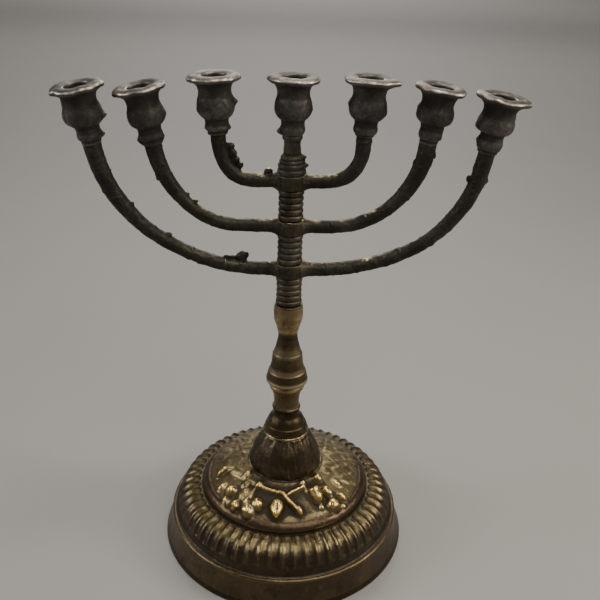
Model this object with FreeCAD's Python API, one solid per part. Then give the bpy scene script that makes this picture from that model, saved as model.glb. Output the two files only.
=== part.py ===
import FreeCAD, Part
import math
import os

# Seven-branched table menorah in cast brass, in millimetres.
# The origin is the centre of the foot on the table, +Z is up and the branches lie in the XZ plane.
# A tie rod holds the column together: the castings are threaded on it one above the other,
# from the nut under the base to the centre cup on top.

Vec = FreeCAD.Vector
ORIGIN = Vec(0, 0, 0)
UP = Vec(0, 0, 1)
BACK = Vec(0, 1, 0)
FULL_TURN = 360

# Tie rod and its fasteners
ROD_RADIUS = 2.5
ROD_HOLE_RADIUS = 2.7
THREAD_HOLE_RADIUS = 2.55
ROD_BOTTOM = 31.5
ROD_TOP = 257.8
NUT_ACROSS_FLATS = 8.0
NUT_HEIGHT = 4.0
NUT_CHAMFER = 0.5
WASHER_RADIUS = 8.0
WASHER_THICKNESS = 1.2

# Base casting
FOOT_RADIUS = 75.0
FOOT_INNER_RADIUS = 70.6
LIP_RADIUS = 70.7
LIP_HEIGHT = 16.7
ROLL_CENTRE_RADIUS = 53.3
ROLL_CENTRE_HEIGHT = 20.7
ROLL_RADIUS = 13.4
SHELL_THICKNESS = 3.1
DISC_RADIUS = 50.9
DISC_HEIGHT = 35.8
BOSS_RADIUS = 9.0
BOSS_BOTTOM = 38.0
FLUTE_COUNT = 60
FLUTE_RADIUS = 3.6
FLUTE_DEPTH = 1.1
FLUTE_LOW_ANGLE = 14.0
FLUTE_HIGH_ANGLE = 74.0

# Heights of the joints up the column
CONE_BOTTOM = 48.8
CONE_TOP = 70.8
CONE_RING_TOP = 72.8
KNOP_TOP = 89.6
WAIST_TOP = 101.0
BEAD_TOP = 105.6
BELL_TOP = 137.0
VASE_TOP = 157.0
LOWER_HUB_BOTTOM = 174.0
HUB_HEIGHT = 8.0
HUB_SPACING = 25.0
NECK_TOP = 252.4

# Column radii
CONE_FOOT_RADIUS = 22.0
HUB_RADIUS = 7.4
NECK_RADIUS = 4.2
SLEEVE_RINGS = 5
SLEEVE_GROOVE_DEPTH = 0.75
SLEEVE_GROOVE_WIDTH = 1.0

# Branches: hub number counted from below, how far the arm runs straight out, then two tangent
# arcs (radius, turn in degrees), the straight end, and the arm's radius at hub and cup.
BRANCHES = {
    "outer_branch": {
        "hub": 0,
        "left": {"run": 15.5, "arcs": [(97.9, 37.1), (71.9, 44.0)], "end": 1.5},
        "right": {"run": 12.5, "arcs": [(117.7, 23.5), (67.3, 57.6)], "end": 7.0},
        "radii": (3.5, 4.5),
    },
    "middle_branch": {
        "hub": 1,
        "left": {"run": 27.8, "arcs": [(37.9, 39.4), (54.5, 40.8)], "end": 1.5},
        "right": {"run": 17.1, "arcs": [(87.7, 5.2), (48.6, 77.2)], "end": 4.5},
        "radii": (3.4, 4.4),
    },
    "inner_branch": {
        "hub": 2,
        "left": {"run": 20.3, "arcs": [(16.3, 68.1), (34.9, 19.1)], "end": 2.5},
        "right": {"run": 14.1, "arcs": [(54.4, 8.1), (16.9, 79.0)], "end": 8.5},
        "radii": (3.6, 4.1),
    },
}
SPIGOT_RADIUS = 2.5
SPIGOT_LENGTH = 5.0

# Candle cups
CUP_HEIGHT = 29.0
CUP_RIM_RADIUS = 12.6
CANDLE_HOLE_RADIUS = 6.2
CANDLE_HOLE_DEPTH = 17.0
CUP_STUD_HOLE_DEPTH = 6.0


def hub_bottom(number):
    """Height of the underside of a branch's hub."""
    return LOWER_HUB_BOTTOM + number * HUB_SPACING


def revolved(outline):
    """Solid of revolution about Z. An entry (r, z) is a straight run to that point, and
    (r_middle, z_middle, r, z) is an arc through a middle point. The last point joins the first."""
    edges = []
    here = Vec(outline[0][0], 0, outline[0][1])
    for entry in outline[1:] + outline[:1]:
        there = Vec(entry[-2], 0, entry[-1])
        if len(entry) == 4:
            edges.append(Part.Arc(here, Vec(entry[0], 0, entry[1]), there).toShape())
        else:
            edges.append(Part.LineSegment(here, there).toShape())
        here = there
    return Part.Face(Part.Wire(edges)).revolve(ORIGIN, UP, FULL_TURN)


def turned(outline, bottom, top):
    """A column piece with the tie rod's hole through it: the outer outline from bottom to top."""
    return revolved([(ROD_HOLE_RADIUS, bottom)] + outline + [(ROD_HOLE_RADIUS, top)])


def roll_point(angle_deg, radius):
    """Point (r, z) at an angle above the horizontal on the base's quarter-round roll."""
    angle = math.radians(angle_deg)
    return (
        ROLL_CENTRE_RADIUS + radius * math.cos(angle),
        ROLL_CENTRE_HEIGHT + radius * math.sin(angle),
    )


def flute_cutter():
    """One channel along the roll, in the plane y = 0: a bent round bar with domed ends."""
    path_radius = ROLL_RADIUS + FLUTE_RADIUS - FLUTE_DEPTH
    pivot = Vec(ROLL_CENTRE_RADIUS, 0, ROLL_CENTRE_HEIGHT)
    outwards = Vec(0, -1, 0)
    section = Part.Circle(pivot + Vec(path_radius, 0, 0), UP, FLUTE_RADIUS).toShape()
    disc = Part.Face(Part.Wire(section))
    disc.rotate(pivot, outwards, FLUTE_LOW_ANGLE)
    bar = disc.revolve(pivot, outwards, FLUTE_HIGH_ANGLE - FLUTE_LOW_ANGLE)
    ends = []
    for angle in (FLUTE_LOW_ANGLE, FLUTE_HIGH_ANGLE):
        r, z = roll_point(angle, path_radius)
        ends.append(Part.makeSphere(FLUTE_RADIUS, Vec(r, 0, z)))
    return bar.fuse(ends)


def base_shell():
    """Hollow base: flared foot, fluted quarter-round roll, domed disc and the boss for the rod."""
    inner_roll = ROLL_RADIUS - SHELL_THICKNESS
    outline = [
        (FOOT_INNER_RADIUS, 0),
        (FOOT_RADIUS, 0),
        (72.2, 8.2, LIP_RADIUS, LIP_HEIGHT - 0.5),
        (LIP_RADIUS - 0.5, LIP_HEIGHT),
        (68.6, 17.1),
        (67.4, 18.4),
        roll_point(0, ROLL_RADIUS),
        roll_point(45, ROLL_RADIUS) + roll_point(90, ROLL_RADIUS),
        (52.3, 34.1),
        (51.3, 33.4),
        (DISC_RADIUS, DISC_HEIGHT - 0.6),
        (49.6, 37.6, 46.6, 38.9),
        (34.6, 44.2, CONE_FOOT_RADIUS, CONE_BOTTOM),
        (ROD_HOLE_RADIUS, CONE_BOTTOM),
        (ROD_HOLE_RADIUS, BOSS_BOTTOM),
        (BOSS_RADIUS, BOSS_BOTTOM),
        (BOSS_RADIUS, 45.2),
        (22.4, 45.2),
        (34.0, 41.0, 45.4, 35.9),
        (48.6, 31.0),
        roll_point(90, inner_roll),
        roll_point(45, inner_roll) + roll_point(0, inner_roll),
        (64.4, 18.0),
        (67.4, 14.6),
    ]
    shell = revolved(outline)
    cutters = []
    cutter = flute_cutter()
    for index in range(FLUTE_COUNT):
        channel = cutter.copy()
        channel.rotate(ORIGIN, UP, index * FULL_TURN / FLUTE_COUNT)
        cutters.append(channel)
    return shell.cut(cutters)


def foot_cone():
    """Hollow convex cone between the base and the turned part of the column."""
    return revolved(
        [
            (CONE_FOOT_RADIUS, CONE_BOTTOM),
            (18.9, 59.8, 13.2, CONE_TOP),
            (ROD_HOLE_RADIUS, CONE_TOP),
            (ROD_HOLE_RADIUS, 65.6),
            (10.4, 65.6),
            (16.0, 58.6, 18.6, CONE_BOTTOM),
        ]
    )


def cone_ring():
    """Rounded ring on top of the cone."""
    outline = [(13.2, CONE_TOP), (14.1, 71.8, 13.2, CONE_RING_TOP)]
    return turned(outline, CONE_TOP, CONE_RING_TOP)


def shoulder_knop():
    """Stepped shoulder that narrows upwards and ends in a small bead."""
    outline = [
        (13.0, CONE_RING_TOP),
        (12.7, 75.2, 11.9, 77.2),
        (11.4, 77.6),
        (10.7, 80.0, 9.2, 82.2),
        (8.1, 83.8, 7.8, 85.6),
        (7.8, 86.8),
        (8.4, 88.2, 7.9, KNOP_TOP),
    ]
    return turned(outline, CONE_RING_TOP, KNOP_TOP)


def waist_spool():
    """Slender concave spool."""
    outline = [(7.7, KNOP_TOP), (7.6, 94.4, 8.9, WAIST_TOP)]
    return turned(outline, KNOP_TOP, WAIST_TOP)


def bell_bead():
    """Round bead under the bell."""
    outline = [(9.4, WAIST_TOP), (10.2, 103.3, 9.5, BEAD_TOP)]
    return turned(outline, WAIST_TOP, BEAD_TOP)


def bell():
    """Bell that flares to a sharp lip, with a small step half-way up and a long narrow neck."""
    outline = [
        (9.4, BEAD_TOP),
        (11.4, 106.3),
        (12.3, 107.6, 12.1, 109.2),
        (11.2, 112.6),
        (10.9, 113.6),
        (9.6, 117.4, 8.8, 123.4),
        (8.6, 125.6),
        (7.9, 126.2),
        (6.6, 130.8, 5.6, 135.4),
        (5.5, BELL_TOP),
    ]
    return turned(outline, BEAD_TOP, BELL_TOP)


def vase():
    """Vase that swells from the neck and closes again under the grooved sleeve."""
    outline = [
        (5.5, BELL_TOP),
        (5.6, 138.6),
        (7.0, 144.2),
        (7.9, 146.8, 8.25, 150.6),
        (8.2, 154.2, 7.9, VASE_TOP),
    ]
    return turned(outline, BELL_TOP, VASE_TOP)


def grooved_sleeve(bottom, top, end_radius, middle_radius):
    """Spacer with rounded rings and narrow grooves, slightly waisted half-way up."""
    outline = []
    pitch = (top - bottom) / SLEEVE_RINGS
    for ring in range(SLEEVE_RINGS):
        off_centre = abs(ring + 0.5 - SLEEVE_RINGS / 2) / (SLEEVE_RINGS / 2)
        crest = middle_radius + (end_radius - middle_radius) * off_centre**2
        groove = crest - SLEEVE_GROOVE_DEPTH
        low = bottom + ring * pitch
        high = low + pitch
        half_groove = SLEEVE_GROOVE_WIDTH / 2
        outline.append((groove, low))
        outline.append((groove + 0.4, low + half_groove))
        outline.append((crest, (low + high) / 2, groove + 0.4, high - half_groove))
        outline.append((groove, high))
    return turned(outline, bottom, top)


def arm_path(arm):
    """Edges of an arm's centreline from the column axis outwards along +X, with the point and
    the direction (degrees above the horizontal) where it ends."""
    point = Vec(arm["run"], 0, 0)
    edges = [Part.LineSegment(ORIGIN, point).toShape()]
    heading = 0.0
    for radius, turn in arm["arcs"]:
        centre = point + Vec(
            -radius * math.sin(math.radians(heading)), 0, radius * math.cos(math.radians(heading))
        )
        stops = []
        for share in (0.5, 1.0):
            angle = math.radians(heading + share * turn)
            stops.append(centre + Vec(radius * math.sin(angle), 0, -radius * math.cos(angle)))
        edges.append(Part.Arc(point, stops[0], stops[1]).toShape())
        point = stops[1]
        heading += turn
    along = Vec(math.cos(math.radians(heading)), 0, math.sin(math.radians(heading)))
    tip = point + along * arm["end"]
    edges.append(Part.LineSegment(point, tip).toShape())
    return edges, tip, along


def arm_solid(arm, radii):
    """One tapered round arm with the threaded spigot that the cup screws onto."""
    edges, tip, along = arm_path(arm)
    sweep = Part.BRepOffsetAPI.MakePipeShell(Part.Wire(edges))
    sweep.setBiNormalMode(BACK)
    sweep.add(Part.Wire(Part.Circle(ORIGIN, Vec(1, 0, 0), radii[0]).toShape()))
    sweep.add(Part.Wire(Part.Circle(tip, along, radii[1]).toShape()))
    sweep.build()
    sweep.makeSolid()
    spigot = Part.makeCylinder(SPIGOT_RADIUS, SPIGOT_LENGTH + 1.0, tip - along, along)
    return sweep.shape().fuse(spigot)


def turned_left(shape):
    """The shape turned half a turn about the column, onto the -X side."""
    copy = shape.copy()
    copy.rotate(ORIGIN, UP, FULL_TURN / 2)
    return copy


def branch(spec):
    """One casting: the hub on the tie rod with its left and right arms."""
    bottom = hub_bottom(spec["hub"])
    hub = Part.makeCylinder(HUB_RADIUS, HUB_HEIGHT, Vec(0, 0, bottom))
    right = arm_solid(spec["right"], spec["radii"])
    left = turned_left(arm_solid(spec["left"], spec["radii"]))
    middle = Vec(0, 0, bottom + HUB_HEIGHT / 2)
    right.translate(middle)
    left.translate(middle)
    whole = hub.fuse([right, left])
    hole = Part.makeCylinder(ROD_HOLE_RADIUS, 2 * HUB_HEIGHT, Vec(0, 0, bottom - HUB_HEIGHT / 2))
    return whole.cut(hole).removeSplitter()


def neck_collar():
    """Ringed collar above the top hub, stepping in to the slim neck under the centre cup."""
    bottom = hub_bottom(2) + HUB_HEIGHT
    outline = [
        (7.4, bottom),
        (7.6, bottom + 1.3, 7.3, bottom + 2.6),
        (6.7, bottom + 2.9),
        (6.7, bottom + 3.3),
        (7.4, bottom + 4.4, 6.9, bottom + 5.6),
        (6.1, bottom + 5.9),
        (6.5, bottom + 6.8, 6.0, bottom + 7.6),
        (5.5, bottom + 7.8),
        (5.9, bottom + 8.8, 5.4, bottom + 9.7),
        (NECK_RADIUS, bottom + 10.4),
        (NECK_RADIUS, NECK_TOP - 3.9),
        (4.5, NECK_TOP - 2.8, 5.3, NECK_TOP - 1.9),
        (5.3, NECK_TOP - 0.9, 4.9, NECK_TOP),
    ]
    return turned(outline, bottom, NECK_TOP)


def candle_cup():
    """Cup standing on the origin: collar, bulged bowl, flared dished rim and blind candle hole."""
    hole_bottom = CUP_HEIGHT - CANDLE_HOLE_DEPTH
    return revolved(
        [
            (THREAD_HOLE_RADIUS, 0),
            (5.0, 0),
            (5.6, 0.5),
            (6.5, 1.9, 6.1, 3.3),
            (5.9, 3.6),
            (5.8, 5.2, 6.1, 6.8),
            (6.4, 7.2),
            (8.5, 9.2, 9.4, 12.0),
            (9.5, 14.6, 8.7, 18.2),
            (8.25, 20.6, 8.5, 22.8),
            (9.9, 25.6, 12.2, 27.3),
            (CUP_RIM_RADIUS, 27.9, 12.4, CUP_HEIGHT - 0.3),
            (12.0, CUP_HEIGHT),
            (9.2, CUP_HEIGHT - 0.1, CANDLE_HOLE_RADIUS + 0.4, CUP_HEIGHT - 0.3),
            (CANDLE_HOLE_RADIUS, CUP_HEIGHT - 0.7),
            (CANDLE_HOLE_RADIUS, hole_bottom),
            (0, hole_bottom),
            (0, CUP_STUD_HOLE_DEPTH),
            (THREAD_HOLE_RADIUS, CUP_STUD_HOLE_DEPTH),
        ]
    )


def cup_on_arm(spec, side):
    """A candle cup set square on the end of one arm."""
    _, tip, along = arm_path(spec[side])
    lean = math.degrees(math.atan2(along.x, along.z))
    cup = candle_cup()
    cup.rotate(ORIGIN, BACK, lean)
    cup.translate(tip)
    if side == "left":
        cup = turned_left(cup)
    cup.translate(Vec(0, 0, hub_bottom(spec["hub"]) + HUB_HEIGHT / 2))
    return cup


def centre_cup():
    """The cup on top of the column."""
    cup = candle_cup()
    cup.translate(Vec(0, 0, NECK_TOP))
    return cup


def tie_rod():
    """Plain rod standing for the threaded one."""
    return Part.makeCylinder(ROD_RADIUS, ROD_TOP - ROD_BOTTOM, Vec(0, 0, ROD_BOTTOM))


def rod_washer():
    """Flat washer under the base's boss."""
    bottom = BOSS_BOTTOM - WASHER_THICKNESS
    disc = Part.makeCylinder(WASHER_RADIUS, WASHER_THICKNESS, Vec(0, 0, bottom))
    return disc.cut(Part.makeCylinder(ROD_HOLE_RADIUS, WASHER_THICKNESS, Vec(0, 0, bottom)))


def rod_nut():
    """Hexagon nut with chamfered corners, below the washer."""
    bottom = BOSS_BOTTOM - WASHER_THICKNESS - NUT_HEIGHT
    across_corners = NUT_ACROSS_FLATS / math.cos(math.radians(30))
    corners = []
    for index in range(7):
        angle = math.radians(60 * index)
        corners.append(Vec(math.cos(angle), math.sin(angle), 0) * (across_corners / 2))
    hexagon = Part.Face(Part.makePolygon(corners)).extrude(UP * NUT_HEIGHT)
    round_body = Part.makeCylinder(across_corners / 2, NUT_HEIGHT)
    rims = [round_body.Edges[0], round_body.Edges[2]]
    body = hexagon.common(round_body.makeChamfer(NUT_CHAMFER, rims))
    nut = body.cut(Part.makeCylinder(THREAD_HOLE_RADIUS, NUT_HEIGHT))
    nut.translate(Vec(0, 0, bottom))
    return nut


def all_nodes():
    """Every separate piece by name."""
    nodes = {
        "base_shell": base_shell(),
        "foot_cone": foot_cone(),
        "cone_ring": cone_ring(),
        "shoulder_knop": shoulder_knop(),
        "waist_spool": waist_spool(),
        "bell_bead": bell_bead(),
        "bell": bell(),
        "vase": vase(),
        "lower_sleeve": grooved_sleeve(VASE_TOP, hub_bottom(0), 7.55, 7.1),
        "middle_sleeve": grooved_sleeve(hub_bottom(0) + HUB_HEIGHT, hub_bottom(1), 7.1, 6.8),
        "upper_sleeve": grooved_sleeve(hub_bottom(1) + HUB_HEIGHT, hub_bottom(2), 7.0, 6.7),
        "neck_collar": neck_collar(),
        "candle_cup_centre": centre_cup(),
        "tie_rod": tie_rod(),
        "rod_washer": rod_washer(),
        "rod_nut": rod_nut(),
    }
    for name, spec in BRANCHES.items():
        nodes[name] = branch(spec)
        for side in ("left", "right"):
            ring = name.split("_")[0]
            nodes[f"candle_cup_{side}_{ring}"] = cup_on_arm(spec, side)
    return nodes


os.makedirs("parts", exist_ok=True)
for node, solid in all_nodes().items():
    solid.exportStep(f"parts/{node}.step")
    box = solid.BoundBox
    print(
        f"{node:28s} valid {solid.isValid()} solids {len(solid.Solids)} volume {solid.Volume:9.1f}"
        f"  x {box.XMin:7.1f} {box.XMax:7.1f}  z {box.ZMin:6.1f} {box.ZMax:6.1f}"
    )
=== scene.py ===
import math

import bpy
import numpy as np
from mathutils import Matrix, Vector


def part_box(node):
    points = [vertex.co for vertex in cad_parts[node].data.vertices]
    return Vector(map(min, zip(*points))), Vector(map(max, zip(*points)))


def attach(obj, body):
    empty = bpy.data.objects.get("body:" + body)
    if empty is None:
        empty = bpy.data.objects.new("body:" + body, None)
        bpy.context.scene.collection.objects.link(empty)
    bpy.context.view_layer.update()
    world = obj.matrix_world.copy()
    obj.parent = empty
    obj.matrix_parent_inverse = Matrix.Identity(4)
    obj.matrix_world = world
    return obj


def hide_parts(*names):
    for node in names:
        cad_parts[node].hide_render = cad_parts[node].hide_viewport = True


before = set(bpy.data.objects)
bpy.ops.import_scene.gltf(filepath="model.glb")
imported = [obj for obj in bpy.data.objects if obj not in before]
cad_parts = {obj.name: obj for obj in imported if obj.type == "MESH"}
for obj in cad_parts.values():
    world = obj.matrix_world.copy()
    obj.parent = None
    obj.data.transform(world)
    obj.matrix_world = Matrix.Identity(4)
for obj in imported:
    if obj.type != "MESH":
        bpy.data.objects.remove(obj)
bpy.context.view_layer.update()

# Seven-branched table menorah in antiqued cast brass. Shapes are worked out in millimetres in the
# frame's own axes (+Z up, branches in the XZ plane, front towards -Y) and become metres in to_object()
# and set_points(). The column's pieces start and end where their CAD nodes do.

MM = 0.001
TAU = 2 * math.pi


def foot_of(node):
    """Height of a CAD node's underside, in millimetres."""
    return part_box(node)[0].z / MM


def top_of(node):
    """Height of a CAD node's top, in millimetres."""
    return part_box(node)[1].z / MM


ROD_HOLE_RADIUS = 2.7
FOOT_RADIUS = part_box("base_shell")[1].x / MM
CONE_BOTTOM = foot_of("foot_cone")
HUB_HEIGHT = 8.0
HUB_RADIUS = 7.4


# ---------------------------------------------------------------- noise and outlines


def hashed(cells, seed):
    """A repeatable pseudo-random number from -1 to 1 for each whole-numbered lattice cell."""
    x, y, z = cells[:, 0], cells[:, 1], cells[:, 2]
    n = (x * 73856093) ^ (y * 19349663) ^ (z * 83492791) ^ (seed * 2654435761)
    n = (n ^ (n >> 13)) * 1274126177
    n = (n ^ (n >> 16)) & 0xFFFFFF
    return n / float(0x7FFFFF) - 1.0


def smooth_noise(points, cell, seed):
    """Value noise from -1 to 1 with lumps about one cell wide."""
    scaled = points / cell
    corner = np.floor(scaled).astype(np.int64)
    t = scaled - corner
    t = t * t * (3 - 2 * t)
    total = np.zeros(len(points))
    for offset in np.ndindex(2, 2, 2):
        x_share, y_share, z_share = np.where(offset, t, 1 - t).T
        total += x_share * y_share * z_share * hashed(corner + np.array(offset), seed)
    return total


def rough_noise(points, cell, octaves, seed):
    """Several layers of value noise, each half as large and half as strong as the one before."""
    total, strength = np.zeros(len(points)), 1.0
    for layer in range(octaves):
        total += strength * smooth_noise(points + 17.3 * layer, cell, seed + 31 * layer)
        cell, strength = cell / 2, strength / 2
    return total / 2


def axis_distance(points):
    """Each point's distance from the column's axis."""
    return np.hypot(points[:, 0], points[:, 1])


def ramp(x, low, high):
    """Smooth step from 0 at low to 1 at high."""
    t = np.clip((x - low) / (high - low), 0, 1)
    return t * t * (3 - 2 * t)


def arc_points(start, middle, end, step):
    """Points after start on the arc through three (r, z) points."""
    (ax, ay), (bx, by), (cx, cy) = start, middle, end
    d = 2 * (ax * (by - cy) + bx * (cy - ay) + cx * (ay - by))
    a, b, c = ax * ax + ay * ay, bx * bx + by * by, cx * cx + cy * cy
    ox = (a * (by - cy) + b * (cy - ay) + c * (ay - by)) / d
    oy = (a * (cx - bx) + b * (ax - cx) + c * (bx - ax)) / d
    radius = math.hypot(ax - ox, ay - oy)
    angle = math.atan2(ay - oy, ax - ox)
    clockwise = (bx - ax) * (cy - by) - (by - ay) * (cx - bx) < 0
    turn = (math.atan2(cy - oy, cx - ox) - angle) % TAU
    turn = turn - TAU if clockwise else turn
    count = max(2, math.ceil(abs(turn) * radius / step))
    stops = angle + turn * np.arange(1, count + 1) / count
    return np.stack([ox + radius * np.cos(stops), oy + radius * np.sin(stops)], 1)


def dense_run(here, entries, step):
    """Points along an outline in (r, z): (r, z) is a straight run, (r_middle, z_middle, r, z) an arc."""
    here = np.array(here, float)
    points = []
    for entry in entries:
        there = np.array(entry[-2:], float)
        if len(entry) == 4:
            points.append(arc_points(here, entry[:2], there, step))
        else:
            count = max(1, math.ceil(np.linalg.norm(there - here) / step))
            points.append(here + (there - here) * np.arange(1, count + 1)[:, None] / count)
        here = there
    return np.vstack(points)


def dense_outline(entries, step):
    """A closed outline with points about one step apart."""
    return dense_run(entries[0], entries[1:] + entries[:1], step)


# ---------------------------------------------------------------- meshes


def grid_faces(rows):
    """Faces between neighbouring rows of vertex numbers, closed both ways. Runs on the axis collapse."""
    nxt, side = np.roll(rows, -1, axis=0), np.roll(rows, -1, axis=1)
    quads = np.stack([rows, side, np.roll(nxt, -1, axis=1), nxt], -1).reshape(-1, 4)
    whole = np.array([len(set(q)) == 4 for q in quads.tolist()])
    faces = quads[whole].tolist()
    for quad in quads[~whole].tolist():
        corners = list(dict.fromkeys(quad))
        if len(corners) == 3:
            faces.append(corners)
    return faces


def lathe(outline, segments):
    """Points and faces of a closed (r, z) outline turned about Z."""
    angles = TAU * np.arange(segments) / segments
    points, rows, count = [], [], 0
    for r, z in outline:
        if r < 1e-6:
            points.append([[0.0, 0.0, z]])
            rows.append(np.full(segments, count))
            count += 1
        else:
            points.append(np.stack([r * np.cos(angles), r * np.sin(angles), np.full(segments, z)], 1))
            rows.append(count + np.arange(segments))
            count += segments
    return np.vstack(points), grid_faces(np.array(rows))


def outward(points, faces):
    """The faces with their normals pointing out of the closed shape."""
    volume = 0.0
    for face in faces[:: max(1, len(faces) // 4000)]:
        a, b, c = points[face[0]], points[face[1]], points[face[2]]
        volume += np.dot(a, np.cross(b, c))
    return faces if volume > 0 else [face[::-1] for face in faces]


def to_object(name, points, faces):
    """A smooth-shaded mesh object from points in millimetres."""
    mesh = bpy.data.meshes.new(name)
    mesh.from_pydata((np.asarray(points) * MM).tolist(), [], faces)
    mesh.polygons.foreach_set("use_smooth", np.ones(len(mesh.polygons), bool))
    mesh.update()
    obj = bpy.data.objects.new(name, mesh)
    bpy.context.scene.collection.objects.link(obj)
    return obj


def vertex_data(obj, key):
    """Three numbers for each vertex of the object: "co" or "normal"."""
    values = np.empty(3 * len(obj.data.vertices), np.float32)
    obj.data.vertices.foreach_get(key, values)
    return values.reshape(-1, 3).astype(float)


def mesh_points(obj):
    """The object's points in millimetres."""
    return vertex_data(obj, "co") / MM


def mesh_normals(obj):
    """The object's vertex normals."""
    return vertex_data(obj, "normal")


def set_points(obj, points):
    """Moves the object's vertices to points in millimetres."""
    obj.data.vertices.foreach_set("co", (points * MM).astype(np.float32).ravel())
    obj.data.update()


def neighbour_mean(obj, values, passes):
    """Values averaged with those of the joined vertices, again and again."""
    edges = np.empty(2 * len(obj.data.edges), np.int32)
    obj.data.edges.foreach_get("vertices", edges)
    a, b = edges.reshape(-1, 2).T
    count = len(values)
    share = np.bincount(a, minlength=count) + np.bincount(b, minlength=count)
    for _ in range(passes):
        total = np.empty_like(values)
        for k in range(values.shape[1]):
            total[:, k] = np.bincount(a, values[b, k], count) + np.bincount(b, values[a, k], count)
        values = 0.5 * values + 0.5 * total / share[:, None]
    return values


def mark_relief(obj, passes, scale, rubbed=0.0):
    """Writes how far each point stands out of the smoothed surface, 0.5 being level with it.

    The last argument adds to it where the brass has been worn bare by handling; on some pieces it also
    carries painted highlight and painted shade.
    """
    points = mesh_points(obj)
    height = ((points - neighbour_mean(obj, points, passes)) * mesh_normals(obj)).sum(1)
    raised = np.clip(0.5 + 0.5 * height / scale + rubbed, 0, 1)
    attribute = obj.data.attributes.new("raised", "FLOAT", "POINT")
    attribute.data.foreach_set("value", raised.astype(np.float32))


def place(obj, nodes, slot, material):
    """Gives a finished piece its material and body, and hides the CAD nodes it stands for. The slot is not
    used.
    """
    obj.data.materials.append(material)
    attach(obj, "root")
    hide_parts(*nodes)
    return obj


# ---------------------------------------------------------------- materials


NOISE_MIDDLE = 0.5


class Nodes:
    """A short way to wire shader nodes."""

    def __init__(self, name):
        self.material = bpy.data.materials.new(name)
        self.material.use_nodes = True
        self.tree = self.material.node_tree
        self.tree.nodes.clear()
        self.place = self.new("ShaderNodeTexCoord").outputs["Object"]

    def new(self, kind, inputs=None, **settings):
        """A node with its settings, and with a constant or another node's output at each input."""
        node = self.tree.nodes.new(kind)
        for key, value in settings.items():
            setattr(node, key, value)
        for key, value in (inputs or {}).items():
            if isinstance(value, bpy.types.NodeSocket):
                self.tree.links.new(value, node.inputs[key])
            else:
                node.inputs[key].default_value = value
        return node

    def noise(self, size_mm, detail=4.0, roughness=0.55, distortion=0.0):
        """Noise with blotches about size_mm wide."""
        settings = {"Detail": detail, "Roughness": roughness, "Distortion": distortion}
        settings |= {"Vector": self.place, "Scale": 0.5 / (size_mm * MM)}
        return self.new("ShaderNodeTexNoise", settings).outputs["Fac"]

    def pits(self, size_mm, width):
        """1 in small round pits about size_mm apart, 0 elsewhere."""
        cells = self.new("ShaderNodeTexVoronoi", {"Vector": self.place, "Scale": 1 / (size_mm * MM)})
        return self.span(cells.outputs["Distance"], width, 0.0)

    def math(self, operation, a, b):
        return self.new("ShaderNodeMath", {0: a, 1: b}, operation=operation).outputs[0]

    def plus(self, a, b):
        return self.math("ADD", a, b)

    def minus(self, a, b):
        return self.math("SUBTRACT", a, b)

    def times(self, a, b):
        return self.math("MULTIPLY", a, b)

    def span(self, value, low, high, out_low=0.0, out_high=1.0):
        """Maps low..high smoothly to out_low..out_high."""
        limits = {"From Min": low, "From Max": high, "To Min": out_low, "To Max": out_high}
        node = self.new("ShaderNodeMapRange", {"Value": value, **limits}, interpolation_type="SMOOTHSTEP")
        return node.outputs["Result"]

    def mix(self, share, a, b):
        """Colour a, with a share of colour b."""
        a, b = (opaque(c) for c in (a, b))
        return self.new("ShaderNodeMix", {0: share, 6: a, 7: b}, data_type="RGBA").outputs[2]

    def height(self, wobble_mm):
        """Height above the table in millimetres, made uneven by noise."""
        z = self.times(self.new("ShaderNodeSeparateXYZ", {0: self.place}).outputs[2], 1 / MM)
        return self.plus(z, self.times(self.minus(self.noise(7.0), NOISE_MIDDLE), wobble_mm))

    def from_axis(self):
        """Distance from the column's axis in millimetres."""
        flatten = {0: self.place, 1: (1 / MM, 1 / MM, 0)}
        flat = self.new("ShaderNodeVectorMath", flatten, operation="MULTIPLY").outputs["Vector"]
        return self.new("ShaderNodeVectorMath", {0: flat}, operation="LENGTH").outputs["Value"]

    def band(self, z, low, high, edge=0.7):
        """1 between two heights, 0 elsewhere."""
        above_low = self.span(z, low - edge, low + edge)
        return self.times(above_low, self.span(z, high - edge, high + edge, 1.0, 0.0))

    def attribute(self, name):
        return self.new("ShaderNodeAttribute", attribute_name=name).outputs["Fac"]

    def bump(self, height, distance_mm, strength, **normal):
        """A normal for the relief in height. normal may hold Normal, the one to add it to."""
        settings = {"Height": height, "Distance": distance_mm * MM, "Strength": strength}
        return self.new("ShaderNodeBump", {**settings, **normal}).outputs["Normal"]

    def finish(self, **inputs):
        inputs = {key.replace("_", " "): value for key, value in inputs.items()}
        shader = self.new("ShaderNodeBsdfPrincipled", inputs)
        self.new("ShaderNodeOutputMaterial", {0: shader.outputs[0]})
        return self.material


def opaque(colour):
    """An (r, g, b) colour with its alpha. A node's output stays as it is."""
    return (*colour, 1.0) if isinstance(colour, tuple) else colour


DUST = (0.09, 0.092, 0.075)
CORE_FADE_MM = 4.0


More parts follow.
